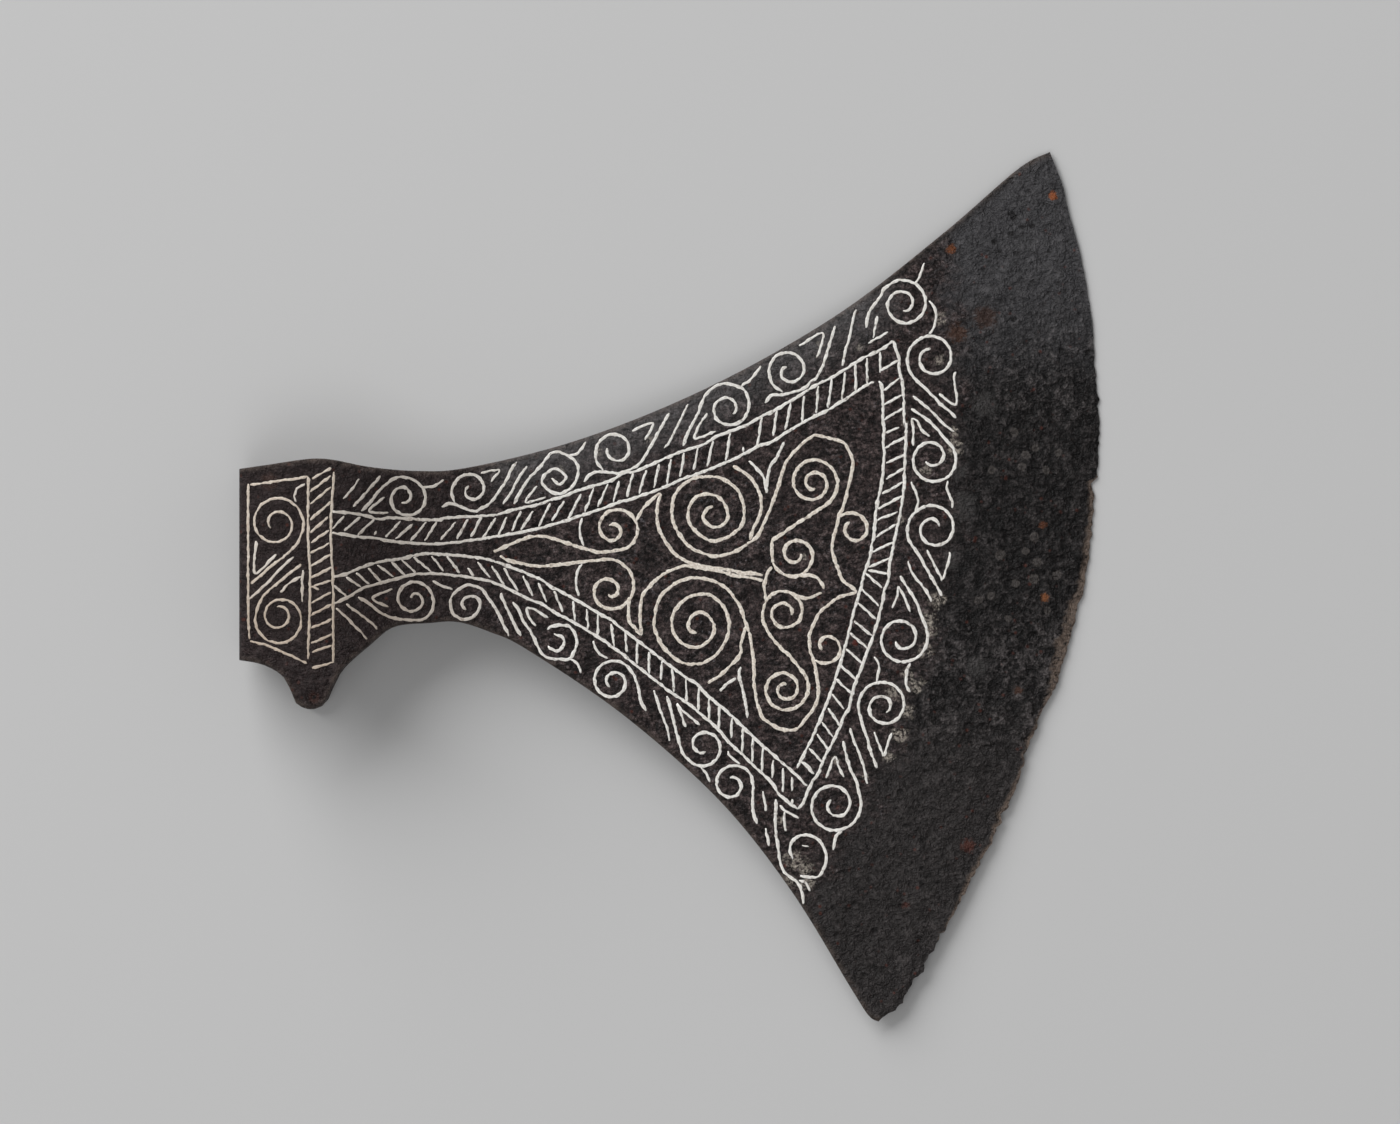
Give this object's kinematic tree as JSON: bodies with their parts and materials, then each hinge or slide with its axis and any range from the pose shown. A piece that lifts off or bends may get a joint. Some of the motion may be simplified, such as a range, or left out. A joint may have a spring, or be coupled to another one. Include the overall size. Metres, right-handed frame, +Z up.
{
  "type": "steel axe head",
  "caption": "Broad forged axe head with a haft eye, a long lower lug and a wide curved blade, its face inlaid with silver wire scrolls and twisted borders",
  "frame": {"origin": "on the floor, under the middle of the head's bounding box, as it lies on its plain side", "axes": "+Z up, away from the floor, out of the decorated face; +X from the butt towards the cutting edge; +Y along the haft's eye, towards the upper horn"},
  "size_m": [0.214, 0.2172, 0.029],
  "materials": {
    "iron": "dark brown-black patinated forged iron, finely mottled, with small rust spots and a smoother charcoal edge",
    "silver": "warm white silver wire, hammered flush and slightly worn"
  },
  "bodies": {
    "root": {"axe_head": "iron", "silver_border_lower": "silver", "silver_border_side": "silver", "silver_border_socket": "silver", "silver_border_upper": "silver", "silver_heart_scroll": "silver", "silver_scroll_edge_1": "silver", "silver_scroll_edge_2": "silver", "silver_scroll_edge_3": "silver", "silver_scroll_edge_4": "silver", "silver_scroll_edge_5": "silver", "silver_scroll_edge_6": "silver", "silver_scroll_leaf_lower": "silver", "silver_scroll_leaf_upper": "silver", "silver_scroll_lower_1": "silver", "silver_scroll_lower_2": "silver", "silver_scroll_lower_3": "silver", "silver_scroll_lower_4": "silver", "silver_scroll_lower_5": "silver", "silver_scroll_lower_6": "silver", "silver_scroll_lower_7": "silver", "silver_scroll_socket_lower": "silver", "silver_scroll_socket_upper": "silver", "silver_scroll_upper_1": "silver", "silver_scroll_upper_2": "silver", "silver_scroll_upper_3": "silver", "silver_scroll_upper_4": "silver", "silver_scroll_upper_5": "silver", "silver_scroll_upper_6": "silver", "silver_scroll_upper_7": "silver", "silver_stem_scrolls": "silver"}
  },
  "joints": []
}
